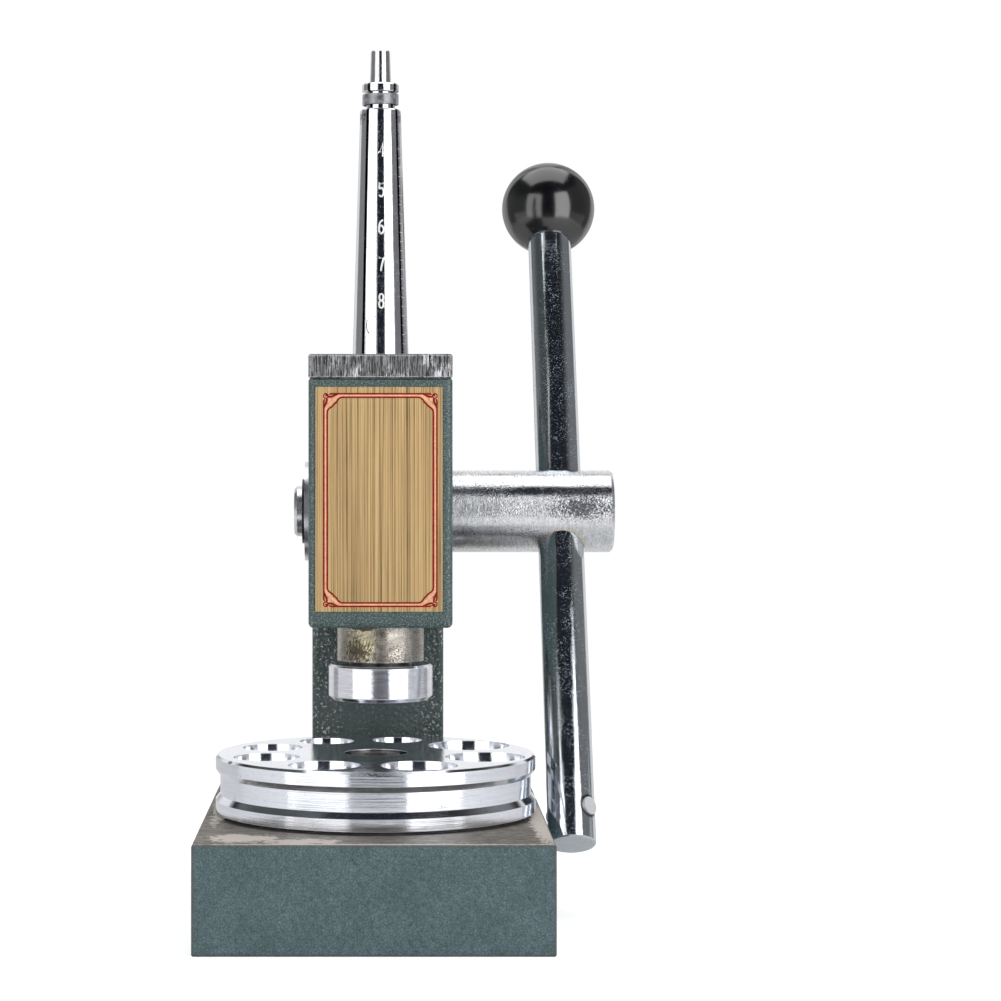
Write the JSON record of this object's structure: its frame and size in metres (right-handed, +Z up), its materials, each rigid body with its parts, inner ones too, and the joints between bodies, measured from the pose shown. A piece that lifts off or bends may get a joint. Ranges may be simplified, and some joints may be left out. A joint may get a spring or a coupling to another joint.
{
  "type": "ring stretcher",
  "caption": "Bench ring stretcher and reducer: a hand lever drives a rack and pinion ram that spreads a split taper mandrel above and presses rings into a turning plate of funnel holes below.",
  "frame": {"origin": "on the underside of the base block, straight below the ram axis", "axes": "+X to the right as the user faces the name plate, towards the lever; +Y to the back; +Z up along the ram and mandrel"},
  "size_m": [0.1398, 0.218, 0.292],
  "materials": {
    "base_paint": "hammered grey-green paint, ground bare top",
    "casting_paint": "thick hammered green paint",
    "black_steel": "blackened",
    "ground_steel": "ground, with upright marks",
    "screw_steel": "plain",
    "label_metal": "brushed, bare",
    "plate_chrome": "polished",
    "bolt_steel": "oily",
    "ram_steel": "worn, greasy",
    "foot_steel": "bright turned",
    "pin_steel": "ground and polished",
    "leaf_chrome": "polished, engraved sizes",
    "spring_wire": "dull grey wire",
    "shaft_steel": "satin, lightly brushed",
    "bush_steel": "bright",
    "washer_black": "black",
    "lever_chrome": "polished",
    "knob_black": "high gloss",
    "insert_brass": "plain",
    "stop_steel": "bright"
  },
  "bodies": {
    "frame": {"base_block": "base_paint", "frame_casting": "casting_paint", "column_screws": "black_steel", "top_plate": "ground_steel", "top_plate_screws": "screw_steel", "name_plate": "label_metal", "shaft_bush": "bush_steel", "plate_bolt": "bolt_steel", "plate_washer": "bolt_steel", "leaf_spring_ring": "spring_wire"},
    "pinion": {"pinion_shaft": "shaft_steel", "shaft_washer": "washer_black", "shaft_screw": "bush_steel", "lever_set_screw": "black_steel"},
    "lever": {"lever_bar": "lever_chrome", "lever_knob": "knob_black", "knob_insert": "insert_brass", "lever_stop_pin": "stop_steel"},
    "ram": {"ram": "ram_steel", "press_foot": "foot_steel", "press_foot_screw": "black_steel", "expander_pin": "pin_steel"},
    "plate": {"reducing_plate": "plate_chrome"},
    "leaf_front": {"leaf_front": "leaf_chrome"},
    "leaf_right": {"leaf_right": "leaf_chrome"},
    "leaf_back": {"leaf_back": "leaf_chrome"},
    "leaf_left": {"leaf_left": "leaf_chrome"}
  },
  "joints": [
    {"name": "shaft_turn", "type": "hinge", "parent": "frame", "child": "pinion", "pos_m": [0, 0.024, 0.132], "axis": [1, 0, 0], "range_deg": [-65, 66]},
    {"name": "lever_slide", "type": "slide", "parent": "pinion", "child": "lever", "axis": [0, 0.5, 0.866], "range_m": [-0.005, 0.096]},
    {"name": "ram_slide", "type": "slide", "parent": "frame", "child": "ram", "axis": [0, 0, 1], "range_m": [-0.0139, 0.0138]},
    {"name": "plate_turn", "type": "hinge", "parent": "frame", "child": "plate", "pos_m": [-0.0016, -0.03777, 0.0341], "axis": [0, 0, 1], "continuous": true},
    {"name": "leaf_front_slide", "type": "slide", "parent": "frame", "child": "leaf_front", "axis": [0.1115, -0.9938, 0], "range_m": [-0.00042, 0.00041]},
    {"name": "leaf_right_slide", "type": "slide", "parent": "frame", "child": "leaf_right", "axis": [0.9938, 0.1115, 0], "range_m": [-0.00042, 0.00041]},
    {"name": "leaf_back_slide", "type": "slide", "parent": "frame", "child": "leaf_back", "axis": [-0.1115, 0.9938, 0], "range_m": [-0.00042, 0.00041]},
    {"name": "leaf_left_slide", "type": "slide", "parent": "frame", "child": "leaf_left", "axis": [-0.9938, -0.1115, 0], "range_m": [-0.00042, 0.00041]}
  ],
  "couplings": [
    {"joint": "ram_slide", "follows": "shaft_turn", "m_per_rad": -0.012},
    {"joint": "leaf_front_slide", "follows": "shaft_turn", "m_per_rad": -0.00036},
    {"joint": "leaf_right_slide", "follows": "shaft_turn", "m_per_rad": -0.00036},
    {"joint": "leaf_back_slide", "follows": "shaft_turn", "m_per_rad": -0.00036},
    {"joint": "leaf_left_slide", "follows": "shaft_turn", "m_per_rad": -0.00036}
  ]
}
